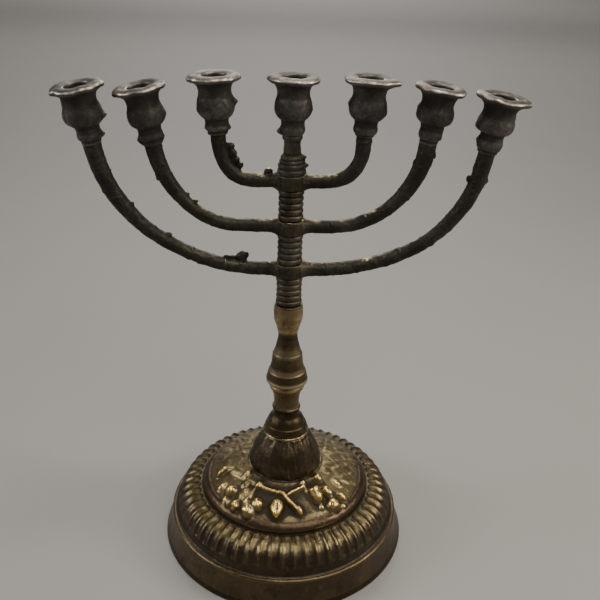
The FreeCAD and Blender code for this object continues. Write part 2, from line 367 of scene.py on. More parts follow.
def brass(
    name, deep, body, worn, wear_from, shine, grain_mm=1.1, grain=0.5, mottle=0.5, rose=0.3, bands=(),
    stains_and_shadows=(), calm=None, core=None, dirt_from=0.47,
):
    """Antiqued cast brass: dark grime in the hollows, bare metal on the high spots, blotched between.

    deep, body and worn are the colours of the grime, the wax and the bare metal, and wear_from is how far a
    place stands out before it is bare. shine is the roughness, grain_mm and grain are the cast surface's
    grain size and depth, mottle is how blotched the wax is, and rose is how much of it is reddish.
    Each band is (lowest, highest, colour, share): a zone of another colour by height, with more or less of
    its dark wax, and on some pieces a ring of painted highlight or painted shade along the turned profile. A
    stain is the same, over the bare metal too, and on some pieces is painted shade in a groove or a narrow
    neck. calm is (lowest, highest, share): a zone where less of the wax has worn off. core is (radius,
    colour): a different body colour near the axis.
    """
    n = Nodes(name)
    blotch = n.noise(13.0, 5.0, 0.6, 0.6)
    cloud = n.noise(3.6, 5.0, 0.62, 0.3)
    speck = n.noise(grain_mm, 4.0, 0.65)
    # The raised attribute also carries painted highlight and painted shade on some pieces. So the bare metal
    # and the dark grime below partly stand for light and shade.
    level = n.plus(n.attribute("raised"), n.times(n.minus(cloud, NOISE_MIDDLE), mottle * 1.1))
    level = n.plus(level, n.times(n.minus(speck, NOISE_MIDDLE), mottle))
    wear_and_highlight = n.span(level, wear_from, wear_from + 0.3)
    grime_and_shade = n.span(level, dirt_from, dirt_from - 0.27)
    z = n.height(0.8)
    if core:
        core_radius, core_colour = core
        away = n.span(n.from_axis(), core_radius, core_radius + CORE_FADE_MM)
        body = n.mix(away, core_colour, body)
    shaded = n.mix(0.5 + 0.3 * mottle, body, deep)
    tint = n.mix(n.span(blotch, 0.4, 0.6), body, shaded)
    for low, high, band_colour, share in bands:
        tint = n.mix(n.times(n.band(z, low, high), share), tint, band_colour)
    tint = n.mix(n.span(cloud, 0.52, 0.68, 0.0, 0.15 + 0.8 * mottle), tint, deep)
    if calm:
        low, high, share = calm
        wear_and_highlight = n.times(wear_and_highlight, n.minus(1.0, n.times(n.band(z, low, high), share)))
    tint = n.mix(wear_and_highlight, tint, worn)
    for low, high, overlay_colour, share in stains_and_shadows:
        tint = n.mix(n.times(n.band(z, low, high, 0.4), share), tint, overlay_colour)
    tint = n.mix(n.times(grime_and_shade, 0.92), tint, deep)
    dust = n.times(n.span(n.noise(6.0, 6.0, 0.7, 1.0), 0.58, 0.74), n.span(level, 0.6, 0.4))
    tint = n.mix(n.times(dust, 0.3), tint, DUST)
    rosy = n.times(n.span(n.noise(2.4, 3.0, 0.6), 0.56, 0.7), n.minus(1.0, grime_and_shade))
    red, green, blue = worn
    tint = n.mix(n.times(rosy, rose), tint, (0.5 * red, 0.38 * green, 0.36 * blue))
    rough = n.plus(shine, n.times(n.span(blotch, 0.35, 0.7), 0.12))
    rough = n.minus(n.plus(rough, n.times(grime_and_shade, 0.28)), n.times(wear_and_highlight, 0.1))
    metal = n.minus(1.0, n.times(n.math("MAXIMUM", grime_and_shade, dust), 0.35))
    pitted = n.times(n.pits(2.1, 0.3), n.span(n.noise(5.0), 0.48, 0.6))
    relief = n.minus(n.plus(speck, n.times(cloud, 0.9)), pitted)
    normal = n.bump(relief, 0.22, grain)
    normal = n.bump(n.noise(0.35, 3.0, 0.6), 0.04, grain, Normal=normal)
    return n.finish(Base_Color=tint, Metallic=metal, Roughness=rough, Normal=normal)


def zinc_steel():
    """Dull zinc-plated steel of the rod, nut and washer."""
    n = Nodes("zinc_steel")
    cloud = n.noise(5.0, 5.0, 0.6)
    speck = n.noise(0.6, 4.0, 0.7)
    tint = n.mix(n.span(cloud, 0.4, 0.65), (0.42, 0.41, 0.38), (0.24, 0.21, 0.17))
    tint = n.mix(n.span(speck, 0.6, 0.75), tint, (0.13, 0.08, 0.05))
    rough = n.span(speck, 0.3, 0.7, 0.32, 0.6)
    normal = n.bump(speck, 0.05, 0.4)
    return n.finish(Base_Color=tint, Metallic=0.95, Roughness=rough, Normal=normal)


def pale_floor():
    """Matt off-white table board."""
    n = Nodes("pale_floor")
    tint = n.mix(n.noise(90.0, 4.0, 0.5), (0.27, 0.262, 0.247), (0.292, 0.283, 0.267))
    normal = n.bump(n.noise(1.5, 4.0, 0.6), 0.05, 0.25)
    return n.finish(Base_Color=tint, Roughness=0.62, Normal=normal)


# Dark wax in the hollows; on the base it is also the colour of painted shade.
DARK_WAX_AND_SHADE = (0.022, 0.017, 0.011)
GOLD = (0.78, 0.53, 0.17)
BASE_BRASS = brass(
    "base_brass", DARK_WAX_AND_SHADE, (0.285, 0.22, 0.11), GOLD, 0.64, 0.3, grain=0.9, mottle=0.3, rose=0.12,
    dirt_from=0.44,
    bands=(
        # Zones by height: a darker foot; the fluted roll's lower part darkened as painted shade, a dark
        # reflection; a less dark ring at the roll's top; and a darker ring at the disc's edge.
        (-5.0, 16.2, (0.078, 0.058, 0.038), 0.85),
        (16.2, 30.6, (0.055, 0.043, 0.034), 0.85),
        (30.6, 33.6, (0.12, 0.096, 0.05), 0.8),
        (36.6, 39.4, (0.085, 0.06, 0.038), 0.72),
    ),
    stains_and_shadows=(
        # The first darkens the foot's bottom edge. The second is painted shade in the groove between the
        # disc's edge and the fluted roll. The third darkens the disc's edge.
        (-5.0, 3.0, (0.04, 0.03, 0.018), 0.85),
        (33.3, 35.2, (0.03, 0.023, 0.013), 0.8),
        (36.0, 39.0, (0.078, 0.054, 0.035), 0.85),
    ),
    calm=(-5.0, 34.5, 0.9),
)
CONE_BRASS = brass(
    "cone_brass", DARK_WAX_AND_SHADE, (0.108, 0.084, 0.052), (0.46, 0.35, 0.22), 0.72, 0.4, grain=0.8, mottle=0.6,
    rose=0.4,
)
COLUMN_BRASS = brass(
    "column_brass", DARK_WAX_AND_SHADE, (0.235, 0.184, 0.105), (0.42, 0.33, 0.2), 0.7, 0.34, mottle=0.2
)
SLEEVE_BRASS = brass(
    "sleeve_brass", (0.018, 0.016, 0.013), (0.128, 0.105, 0.077), (0.34, 0.28, 0.2), 0.74, 0.46, mottle=0.6
)
NECK_BRASS = brass(
    "neck_brass", (0.0192, 0.0176, 0.0144), (0.12, 0.107, 0.084), (0.2, 0.17, 0.12), 0.9, 0.54, mottle=0.45
)
KNOP_BRASS = brass(
    "knop_brass", DARK_WAX_AND_SHADE, (0.075, 0.056, 0.028), (0.391, 0.31, 0.196), 0.68, 0.36, mottle=0.4
)
VASE_BRASS = brass(
    "vase_brass", (0.1, 0.065, 0.031), (0.51, 0.385, 0.205), (0.4, 0.31, 0.18), 0.8, 0.42, mottle=0.75,
    rose=0.7,
    bands=(
        # The first band darkens the bead's lower half as painted shade. The second is painted shade at the
        # vase's foot, in the narrow neck above the bell. The third makes the vase darker towards its top.
        (100.5, 103.0, (0.12, 0.092, 0.05), 0.8),
        (136.0, 139.8, (0.07, 0.052, 0.033), 0.75),
        (150.5, 156.0, (0.21, 0.165, 0.1), 0.5),
    ),
    # Painted shade at the vase's foot in the neck, and a darker ring at its top where the sleeve sits on it.
    stains_and_shadows=((136.0, 138.4, (0.05, 0.038, 0.024), 0.85), (155.9, 158.0, (0.09, 0.07, 0.045), 0.8)),
)
BELL_BRASS = brass(
    "bell_brass", DARK_WAX_AND_SHADE, (0.135, 0.106, 0.056), (0.36, 0.28, 0.18), 0.86, 0.45, mottle=0.4,
    bands=(
        # Rings along the turned profile: painted shade in the narrow neck at the top, two lighter rings on
        # the flank, painted shade just above the lip, and a painted highlight on the lip's edge.
        (131.0, 137.0, (0.065, 0.049, 0.031), 0.8),
        (124.0, 129.4, (0.2, 0.16, 0.095), 0.7),
        (113.6, 116.6, (0.24, 0.175, 0.115), 0.7),
        (109.6, 113.2, (0.07, 0.052, 0.031), 0.8),
        (106.8, 109.0, (0.45, 0.36, 0.22), 0.8),
    ),
    # Painted shade where the bell's top meets the vase.
    stains_and_shadows=((135.4, 138.0, (0.05, 0.038, 0.024), 0.85),),
)
# The worn colour also serves as the painted highlight on the arms' upper sides near the column.
BRANCH_BRASS = brass(
    "branch_brass", (0.028, 0.026, 0.021), (0.076, 0.069, 0.053), (0.5, 0.44, 0.24), 0.74, 0.46,
    grain_mm=1.4, grain=0.7, mottle=0.45, rose=0.08, core=(7.8, (0.105, 0.086, 0.055)),
)
CUP_BRASS = brass(
    "cup_brass", (0.042, 0.039, 0.034), (0.165, 0.15, 0.13), (0.6, 0.52, 0.43), 0.72, 0.47, grain_mm=1.2,
    grain=0.6, mottle=0.36, rose=0.16,
)
ROD_STEEL = zinc_steel()


# ---------------------------------------------------------------- base

BASE_SEGMENTS = 600
FLUTES = 60
LIP_RADIUS = 70.7
ROLL_CENTRE = (53.3, 20.7)
ROLL_RADIUS = 13.4
SHELL = 3.1
DISC_RADIUS, DISC_HEIGHT = 50.9, 35.8
CONE_FOOT_RADIUS = 22.0


def roll_point(angle_deg, radius):
    """The (r, z) point at an angle and a radius from the middle of the fluted roll."""
    angle = math.radians(angle_deg)
    return (ROLL_CENTRE[0] + radius * math.cos(angle), ROLL_CENTRE[1] + radius * math.sin(angle))


def flute_depths(points):
    """How deep the scooped flutes cut into the roll at each point."""
    low, high, depth, arris = 6.0, 93.0, 1.1, 0.1
    r = axis_distance(points)
    pitch = TAU / FLUTES
    across = (np.arctan2(points[:, 1], points[:, 0]) / pitch) % 1.0 - 0.5
    half = 0.5 * (1 - arris) * pitch * r
    side = across * pitch * r
    along_angle = np.degrees(np.arctan2(points[:, 2] - ROLL_CENTRE[1], r - ROLL_CENTRE[0]))
    along = np.radians(along_angle) * ROLL_RADIUS
    start, end = math.radians(low) * ROLL_RADIUS + half, math.radians(high) * ROLL_RADIUS - half
    beyond = np.maximum(0, np.maximum(start - along, along - end))
    reach = np.clip(1 - np.hypot(side, beyond) / half, 0, 1)
    inside = np.hypot(r - ROLL_CENTRE[0], points[:, 2] - ROLL_CENTRE[1]) > ROLL_RADIUS - 0.4
    on_roll = inside & (points[:, 2] > ROLL_CENTRE[1] - 1) & (r > ROLL_CENTRE[0] - 1)
    return np.where(on_roll, depth * (1 - (1 - reach) ** 2.4), 0)


def turned_into(x, y, angle_deg, radius, turn_deg):
    """Plan points in a motif's own axes: u along it, v across. At turn 0 it points outwards."""
    angle = math.radians(angle_deg)
    heading = angle + math.radians(turn_deg)
    dx, dy = x - radius * math.cos(angle), y - radius * math.sin(angle)
    u = dx * math.cos(heading) + dy * math.sin(heading)
    v = -dx * math.sin(heading) + dy * math.cos(heading)
    return u, v


def leaf(u, v, length, width, height):
    """Pointed oval leaf with a midrib and side veins."""
    half = length / 2
    t = np.clip((u + half) / length, 0, 1)
    outline = width / 2 * np.sin(np.pi * t**0.8) ** 0.6 + 1e-3
    inside = np.clip(1 - (v / outline) ** 2, 0, 1) * (np.abs(u) < half)
    blade = height * inside**0.5
    groove = 0.2 * height * np.exp(-((v / 0.5) ** 2)) * (inside > 0)
    veins = 0.05 * height * np.sin(2.6 * (np.abs(v) * 1.3 - u)) * ramp(inside, 0.1, 0.5)
    return blade - groove + veins


def bud(u, v, length, width, height):
    """Swollen bud or small fruit with a collar at its foot."""
    inside = np.clip(1 - (2 * u / length) ** 2 - (2 * v / width) ** 2, 0, 1)
    ring = np.hypot((u + 0.36 * length) / (0.16 * length), v / (0.42 * width))
    return height * inside**0.5 + 0.3 * height * np.exp(-((ring - 1) ** 2) * 6)


def pebble(u, v, length, width, height):
    """Worn lump, once a flower or a cluster of fruit: a dome with a few soft swellings."""
    inside = np.clip(1 - (2 * u / length) ** 2 - (2 * v / width) ** 2, 0, 1)
    return height * inside**0.6 * (0.84 + 0.16 * np.cos(1.7 * u + 0.4) * np.cos(2.0 * v))


def stem(x, y, places, width, height):
    """Round twig through a few (angle, radius) places on the disc."""
    route = np.array([(r * math.cos(math.radians(a)), r * math.sin(math.radians(a))) for a, r in places])
    count = len(route) - 1
    knots = []
    for k in range(count):
        before, after = route[max(0, k - 1)], route[min(count, k + 2)]
        for t in np.linspace(0, 1, 7)[:-1]:
            a, b = route[k], route[k + 1]
            bend = (b - before) * t * (1 - t) ** 2 / 2 - (after - a) * t * t * (1 - t) / 2
            knots.append(a + (b - a) * (3 * t * t - 2 * t**3) + bend)
    knots.append(route[-1])
    nearest = np.full(len(x), 1e9)
    for a, b in zip(knots[:-1], knots[1:]):
        d = b - a
        t = np.clip(((x - a[0]) * d[0] + (y - a[1]) * d[1]) / max(d @ d, 1e-9), 0, 1)
        nearest = np.minimum(nearest, np.hypot(x - a[0] - t * d[0], y - a[1] - t * d[1]))
    return height * np.sqrt(np.clip(1 - (2 * nearest / width) ** 2, 0, 1))


# The spray at the front. A motif is (angle, radius, turn, length, width, height), a stem is a twig's
# places (angle, radius), width and height. Angles run from +X.
FRONT_MOTIFS = {
    leaf: [(-95.8, 40.2, 2, 11.0, 9.4, 3.5)],
    bud: [
        (-77.6, 41.2, 25, 6.6, 4.4, 2.7), (-58.0, 34.8, 0, 11.8, 8.4, 3.8), (-42.8, 27.2, -4, 6.8, 5.0, 2.5),
        (-45.9, 36.2, 10, 8.4, 6.4, 2.7), (-168.0, 38.6, 23, 9.6, 3.2, 2.4),
    ],
    pebble: [
        (-64.8, 25.4, 0, 5.0, 4.6, 2.2), (-48.8, 44.0, 0, 8.6, 8.2, 3.6), (-37.3, 43.4, 20, 6.8, 5.8, 2.5),
        (-58.3, 42.4, 0, 4.0, 3.6, 1.8), (-42.0, 47.4, 60, 4.4, 3.2, 1.2), (-28.0, 36.0, 10, 6.0, 4.6, 1.3),
        (-142.7, 40.0, -10, 6.8, 6.4, 3.2), (-129.0, 37.0, 0, 9.4, 8.4, 1.9),
        (-129.6, 45.0, 30, 7.6, 6.0, 3.0), (-118.3, 44.4, 60, 10.4, 8.0, 3.3),
        (-113.2, 39.2, 60, 8.6, 7.8, 3.5), (-123.0, 40.6, -30, 6.6, 5.6, 2.6),
        (-145.8, 27.0, 20, 6.4, 5.6, 2.1), (-121.4, 28.4, 0, 6.2, 5.4, 2.2),
        (-140.0, 45.8, 70, 6.0, 4.0, 1.7), (-137.0, 32.0, 0, 6.4, 5.4, 1.3),
        (-153.0, 42.6, 20, 5.8, 4.4, 1.5),
    ],
}
FRONT_STEMS = [
    ([(-95.5, 30.0), (-91, 31.0), (-86, 34.8), (-78, 40.8)], 3.2, 2.2),
    ([(-118, 28.8), (-108, 29.2), (-94, 30.2)], 3.0, 1.3),
    ([(-89, 33.0), (-83, 30.2), (-66, 27.8)], 2.4, 1.9),
    ([(-121, 28.4), (-124, 33.0), (-122, 40.0)], 2.0, 1.2),
    ([(-126, 28.6), (-146, 30.0), (-164, 34.0)], 2.0, 0.9),
    ([(-60, 29.0), (-52, 30.0), (-46, 37.0), (-44, 44.0)], 1.8, 1.1),
]
# The sprays round the sides and back: the angles of their middles, then the twigs of one spray (places,
# width, height) and its motifs (place, turn, shape). A place is (angle from the middle, radius).
SPRAY_MIDDLES = (-2, 36, 75, 112, 150)
SPRAY_TWIGS = [
    ([(-16, 27), (-4, 31), (8, 38), (14, 45)], 2.2, 1.3),
    ([(-4, 31), (-12, 38), (-15, 44)], 1.8, 1.1),
]
SPRAY_MOTIFS = [
    (-17, 32, -40, leaf), (2, 27, -30, leaf), (1, 36, -50, leaf), (11, 33, 50, leaf), (15, 39, 10, bud),
    (6, 43, -20, pebble), (-6, 41.5, 30, leaf), (-14, 45, 10, bud), (-17, 39, -30, pebble),
    (13, 45.5, -60, pebble), (18, 27, 0, bud),
]


def side_sprays(x, y):
    """The sprays round the sides and back of the disc: every other one mirrored, no two quite alike."""
    total = np.zeros(len(x))
    shapes = np.random.default_rng(7)
    for index, centre in enumerate(SPRAY_MIDDLES):
        hand = 1 if index % 2 else -1
        for swings, width, height in SPRAY_TWIGS:
            places = [(centre + hand * swing, radius) for swing, radius in swings]
            total = np.maximum(total, stem(x, y, places, width, height))
        for swing, radius, turn, shape in SPRAY_MOTIFS:
            length = shapes.uniform(8.0, 11.0) if shape is leaf else shapes.uniform(5.5, 8.0)
            width = length * (0.6 if shape is leaf else 0.9)
            height = shapes.uniform(1.0, 1.9)
            angle = centre + hand * swing + shapes.uniform(-2, 2)
            u, v = turned_into(x, y, angle, radius, hand * turn + shapes.uniform(-15, 15))
            total = np.maximum(total, shape(u, v, length, width, height))
    return total


RELIEF_GAIN, SIDE_SHARE, MOSS_HEIGHT = 1.5, 0.3, 0.3


def disc_relief(points):
    """Height of the cast twigs, leaves, buds and flowers above the disc."""
    x, y = points[:, 0], points[:, 1]
    r = np.hypot(x, y)
    total = SIDE_SHARE * side_sprays(x, y)
    for shape, motifs in FRONT_MOTIFS.items():
        for angle, radius, turn, *sizes in motifs:
            u, v = turned_into(x, y, angle, radius, turn)
            total = np.maximum(total, shape(u, v, *sizes))
    for places, width, height in FRONT_STEMS:
        total = np.maximum(total, stem(x, y, places, width, height))
    total = RELIEF_GAIN * total
    front = ramp(-y / r, 0.45, 0.75)
    moss = ramp(rough_noise(points, 4.0, 2, 90), 0.0, 0.45) * ramp(r, 47.0, 44.0) * (1 - 0.75 * front)
    total = total + MOSS_HEIGHT * moss * ramp(total, 1.2, 0.2)
    return total * ramp(r, CONE_FOOT_RADIUS, CONE_FOOT_RADIUS + 1.0) * ramp(r, 49.8, 47.6)


def base_casting():
    """Hollow base: flared foot, lip, fluted roll and the domed disc with its leaf and bud relief."""
    inner_roll = ROLL_RADIUS - SHELL
    boss_bottom, boss_radius, under = 38.0, 9.0, 45.2
    start = (ROD_HOLE_RADIUS, CONE_BOTTOM)
    under_cone = [(CONE_FOOT_RADIUS - 1, CONE_BOTTOM)]
    outside = [
        (CONE_FOOT_RADIUS, CONE_BOTTOM), (34.6, 44.2, 46.6, 38.9),
        (49.6, 37.6, DISC_RADIUS, DISC_HEIGHT - 0.6), (51.3, 33.5), (52.2, 34.0),
        roll_point(90, ROLL_RADIUS), roll_point(45, ROLL_RADIUS) + roll_point(0, ROLL_RADIUS),
        (67.3, 19.0), (67.5, 18.1), (68.7, 17.4), (69.6, 17.5, LIP_RADIUS, 16.4), (LIP_RADIUS + 0.1, 15.2),
    ]
    foot = [(72.1, 8.2, FOOT_RADIUS, 0.6), (FOOT_RADIUS - 0.5, 0)]
    inside = [
        (70.6, 0), (67.4, 14.6), (64.4, 18.0), roll_point(0, inner_roll),
        roll_point(45, inner_roll) + roll_point(90, inner_roll), (48.6, 31.0), (45.4, 35.9),
        (34.0, 41.0, 22.4, under), (boss_radius, under), (boss_radius, boss_bottom),
        (ROD_HOLE_RADIUS, boss_bottom), start,
    ]
    runs, here = [], start
    for entries, step in ((under_cone, 5.0), (outside, 0.65), (foot, 1.1), (inside, 4.0)):
        runs.append(dense_run(here, entries, step))
        here = entries[-1][-2:]
    points, faces = lathe(np.vstack(runs), BASE_SEGMENTS)
    obj = to_object("base_casting", points, outward(points, faces))
    normals = mesh_normals(obj)
    r, z = axis_distance(points), points[:, 2]
    disc = (normals[:, 2] > 0.2) & (r < DISC_RADIUS) & (r > CONE_FOOT_RADIUS) & (z > DISC_HEIGHT - 1)
    relief = np.where(disc, disc_relief(points), 0)
    relief = neighbour_mean(obj, relief[:, None], 5)[:, 0]
    lift = relief - flute_depths(points)
    clear_of_table = z > 0.8
    shown = (normals[:, 2] > -0.3) & (r > CONE_FOOT_RADIUS) & clear_of_table
    cast = 0.16 * rough_noise(points, 5.0, 3, 11) + 0.07 * rough_noise(points, 1.3, 2, 12)
    lift += np.where(shown, cast, 0.4 * cast * clear_of_table * (z < 37))
    set_points(obj, points + normals * lift[:, None])
    frontness = -points[:, 1] / r
    # Painted shade: the disc's ground between the relief is darkened at the front, and a ring round the
    # cone's foot is darkened as the cone's shadow. The back of the disc is made darker too.
    front_shade = ramp(frontness, 0.45, 0.85) * ramp(r, 45.0, 42.5) * ramp(relief, 0.9, 0.1) * disc
    away = ramp(frontness, 0.3, -0.1) * disc
    mark_relief(obj, 40, 0.9, -0.22 * front_shade - 0.12 * away - 0.4 * (r < CONE_FOOT_RADIUS + 1.6))
    return place(obj, ["base_shell"], "base_brass", BASE_BRASS)


base_casting()


# ---------------------------------------------------------------- column

COLUMN_SEGMENTS = 160


def unit_out(points):
    """Directions level and straight away from the axis."""
    r = axis_distance(points)
    return np.stack([points[:, 0] / r, points[:, 1] / r, np.zeros(len(r))], 1)


def turned_piece(node, finish, material, seed, outline, uneven=0.09, step=0.35, bumps=(), rubbed=0.0):
    """A column casting turned about the axis, with its surface left slightly uneven.

    The outline's heights are above the CAD node's foot. Each bump is (height above the table, pull,
    width): a bead of metal on the casting's +X side.
    """
    low, high = foot_of(node), top_of(node)
    raised = [tuple(v + low * (k % 2) for k, v in enumerate(entry)) for entry in outline]
    closed = [(ROD_HOLE_RADIUS, low)] + raised + [(ROD_HOLE_RADIUS, high)]
    points, faces = lathe(dense_outline(closed, step), COLUMN_SEGMENTS)
    obj = to_object(node + finish, points, outward(points, faces))
    r = axis_distance(points)
    swell = uneven * rough_noise(points, 4.0, 3, seed) + 0.5 * uneven * rough_noise(points, 1.0, 2, seed + 5)
    for height, pull, width in bumps:
        side = np.exp((points[:, 0] / r - 1) * 30)
        swell += pull * side * np.exp(-(((points[:, 2] - height) / width) ** 2))
    swell = swell * ramp(r, ROD_HOLE_RADIUS + 0.3, ROD_HOLE_RADIUS + 1.6)
    set_points(obj, points + unit_out(points) * swell[:, None])
    mark_relief(obj, 16, 0.35, rubbed)
    return place(obj, [node], "column_brass", material)


def cone_leaves(points):
    """Upright ribbed leaves round the cone, uneven and half worn away."""
    count = 11
    z = (points[:, 2] - CONE_BOTTOM) / (top_of("foot_cone") - CONE_BOTTOM)
    angle = np.arctan2(points[:, 1], points[:, 0]) / TAU * count + 0.12 * np.sin(3 * z)
    across = (angle % 1.0) - 0.5
    width = 0.46 * np.sin(np.pi * np.clip(0.16 + 0.8 * z, 0, 1)) ** 0.7
    inside = np.clip(1 - (across / width) ** 2, 0, 1)
    second = ((angle + 0.5) % 1.0) - 0.5
    tip = np.clip(1 - (second / (0.3 * np.clip(1.15 - z, 0.05, 1))) ** 2, 0, 1)
    rib = np.exp(-((across / 0.05) ** 2)) * (inside > 0)
    streaks = 0.12 * np.cos(across * 60) * inside
    worn = 0.75 + 0.4 * smooth_noise(points, 6.0, 44)
    return (0.75 * inside**0.5 + 0.3 * rib + 0.35 * tip**0.5 + streaks - 0.45) * worn * ramp(z, 1.02, 0.9)


def foot_cone():
    """Convex hollow cone with upright leaves."""
    bottom, top = CONE_BOTTOM, top_of("foot_cone")
    outline = dense_outline(
        [
            (CONE_FOOT_RADIUS - 0.4, bottom), (CONE_FOOT_RADIUS, bottom + 0.6), (18.9, 59.8, 13.2, top),
            (ROD_HOLE_RADIUS, top), (ROD_HOLE_RADIUS, 65.6), (10.4, 65.6), (16.0, 58.6, 18.6, bottom),
        ],
        0.4,
    )
    points, faces = lathe(outline, 264)
    obj = to_object("foot_cone_leaves", points, outward(points, faces))
    normals = mesh_normals(obj)
    r = axis_distance(points)
    shown = ((points * normals)[:, :2].sum(1) > 0.2) & (r > 11)
    lift = cone_leaves(points) + 0.12 * rough_noise(points, 3.0, 3, 21)
    set_points(obj, points + unit_out(points) * np.where(shown, lift, 0)[:, None])
    mark_relief(obj, 20, 0.45)
    return place(obj, ["foot_cone"], "base_brass", CONE_BRASS)


def ringed(node, end_radius, middle_radius):
    """Outline of a spacer: five rounded rings with narrow dark grooves between them."""
    rings, groove_depth, half_groove = 5, 1.0, 0.45
    pitch = (top_of(node) - foot_of(node)) / rings
    outline = []
    for k in range(rings):
        off_centre = abs(k + 0.5 - rings / 2) / (rings / 2)
        crest = middle_radius + (end_radius - middle_radius) * off_centre**2
        shoulder, low, high = crest - 0.35, k * pitch, (k + 1) * pitch
        outline += [(crest - groove_depth, low), (shoulder, low + half_groove)]
        outline += [(crest, (low + high) / 2, shoulder, high - half_groove), (crest - groove_depth, high)]
    return outline


FINE = {"uneven": 0.14, "step": 0.25}
# The turned pieces up the column: node, ending of the piece's name, material, seed, outline and what
# else turned_piece() takes.
TURNED = [
    ("cone_ring", "_turned", KNOP_BRASS, 3, [(13.0, 0), (13.9, 1.0, 13.0, 2.0)], {}),
    (
        "shoulder_knop", "_turned", KNOP_BRASS, 5,
        [
            (12.7, 0), (13.1, 0.4), (12.7, 2.4, 12.0, 4.3), (11.4, 4.7), (10.7, 7.2, 9.2, 9.4),
            (8.1, 11.0, 7.8, 12.8), (7.7, 14.0), (8.5, 15.4, 7.7, 16.8),
        ],
        {},
    ),
    ("waist_spool", "_turned", COLUMN_BRASS, 7, [(7.5, 0), (7.6, 4.8, 8.9, 11.4)], {"rubbed": 0.18}),
    ("bell_bead", "_turned", VASE_BRASS, 9, [(9.2, 0), (10.3, 2.3, 9.3, 4.6)], {}),
    (
        "bell", "_turned", BELL_BRASS, 11,
        [
            (9.2, 0), (11.4, 0.6), (12.35, 1.9, 12.1, 3.4), (11.3, 6.8), (11.0, 8.2), (10.6, 8.7),
            (9.5, 12.2, 8.85, 17.8), (8.6, 19.6), (8.1, 20.4), (6.7, 25.2, 5.6, 30.2), (5.5, 31.4),
        ],
        {"uneven": 0.12},
    ),
    (
        "vase", "_turned", VASE_BRASS, 13,
        [(5.5, 0), (5.6, 1.6), (7.0, 7.2), (7.9, 9.8, 8.25, 13.6), (8.2, 17.2, 7.8, 20.0)],
        {"uneven": 0.2},
    ),
    ("lower_sleeve", "_ringed", SLEEVE_BRASS, 15, ringed("lower_sleeve", 7.55, 7.1), FINE),
    ("middle_sleeve", "_ringed", NECK_BRASS, 17, ringed("middle_sleeve", 7.1, 6.8), FINE),
    ("upper_sleeve", "_ringed", SLEEVE_BRASS, 19, ringed("upper_sleeve", 7.0, 6.7), FINE),
    (
        "neck_collar", "_turned", NECK_BRASS, 23,
        [
            (7.2, 0), (7.5, 1.3, 7.2, 2.6), (6.9, 2.9), (6.9, 3.3), (7.2, 4.4, 6.8, 5.6), (6.3, 5.9),
            (6.5, 6.8, 6.1, 7.6), (5.7, 7.8), (5.9, 8.8, 5.4, 9.7), (4.4, 10.6), (4.4, 16.5),
            (4.6, 17.6, 5.2, 18.5), (5.2, 19.5, 4.9, 20.4),
        ],
        {"uneven": 0.25, "bumps": ((240.9, 1.7, 1.4), (236.7, 1.6, 1.3))},
    ),
]

foot_cone()
for *turned_spec, extras in TURNED:
    turned_piece(*turned_spec, **extras)


# ---------------------------------------------------------------- branches

# For each arm: the straight run from the axis, two tangent arcs (radius, turn in degrees) and the straight
# end, then the arm's radius at the hub, midway and at the cup. The seeds are the cast surface's and the
# first lump's. The lumps are beads of metal left by the mould: place (x, z) from the hub's middle, and
# half-sizes along X, Y and Z. Each grows out of the nearest part of the arm.
BRANCHES = {
    "outer": {
        "left": (15.5, [(97.9, 37.1), (71.9, 44.0)], 1.5),
        "right": (12.5, [(117.7, 23.5), (67.3, 57.6)], 7.0),
        "radii": {"left": (3.7, 3.8, 4.8), "right": (3.9, 3.6, 4.5)},
        "seeds": (300, 60),
        "lumps": [
            ((-25.8, 7.2), (3.4, 2.7, 3.0)), ((-31.5, 6.2), (3.6, 1.0, 1.0)),
            ((-34.8, 6.6), (1.6, 1.0, 0.9)), ((-67.0, 18.4), (3.4, 1.6, 1.2)),
            ((-73.0, 22.6), (1.6, 1.2, 1.1)), ((-84.0, 35.0), (1.0, 1.0, 1.4)),
            ((-76.0, 18.2), (2.2, 1.4, 1.4)), ((-92.4, 36.0), (1.3, 1.3, 2.2)),
            ((101.4, 53.3), (1.3, 1.3, 2.4)), ((92.5, 53.6), (1.3, 1.3, 2.2)),
            ((91.0, 40.0), (1.4, 1.2, 1.4)), ((67.0, 14.0), (2.4, 1.4, 1.0)),
            ((52.0, 8.2), (2.2, 1.4, 0.9)), ((38.0, 5.0), (3.0, 1.5, 0.9)),
        ],
    },
    "middle": {
        "left": (27.8, [(37.9, 39.4), (54.5, 40.8)], 1.5),
        "right": (17.1, [(87.7, 5.2), (48.6, 77.2)], 4.5),
        "radii": {"left": (3.7, 3.4, 4.5), "right": (3.5, 3.6, 4.8)},
        "seeds": (340, 130),
        "lumps": [
            ((-54.7, 16.4), (1.5, 1.2, 1.2)), ((-50.4, 12.8), (1.6, 1.2, 1.0)),
            ((-62.5, 26.4), (1.1, 1.1, 1.5)), ((-69.6, 25.0), (1.3, 1.2, 1.6)),
            ((72.9, 41.0), (1.4, 1.4, 2.4)), ((63.5, 36.4), (1.0, 1.0, 2.0)), ((36.0, 4.6), (2.8, 1.4, 0.9)),
        ],
    },
    "inner": {
        "left": (20.3, [(16.3, 68.1), (34.9, 19.1)], 2.5),
        "right": (14.1, [(54.4, 8.1), (16.9, 79.0)], 8.5),
        "radii": {"left": (3.75, 3.7, 3.9), "right": (3.7, 3.8, 4.1)},
        "seeds": (380, 165),
        "lumps": [
            ((-30.8, 14.0), (2.5, 2.2, 2.7)), ((-29.2, 10.8), (2.3, 2.0, 2.3)),
            ((-31.6, 17.4), (1.9, 1.7, 2.2)), ((-26.8, 8.0), (1.9, 1.5, 1.7)),
            ((-12.2, 5.0), (2.6, 1.8, 1.8)),
        ],
    },
}
SIDES = {"left": -1, "right": 1}
CAST_VOXEL = 0.36
ARM_STEP = 0.9
RADIUS_STOPS = (0, 0.55, 1)


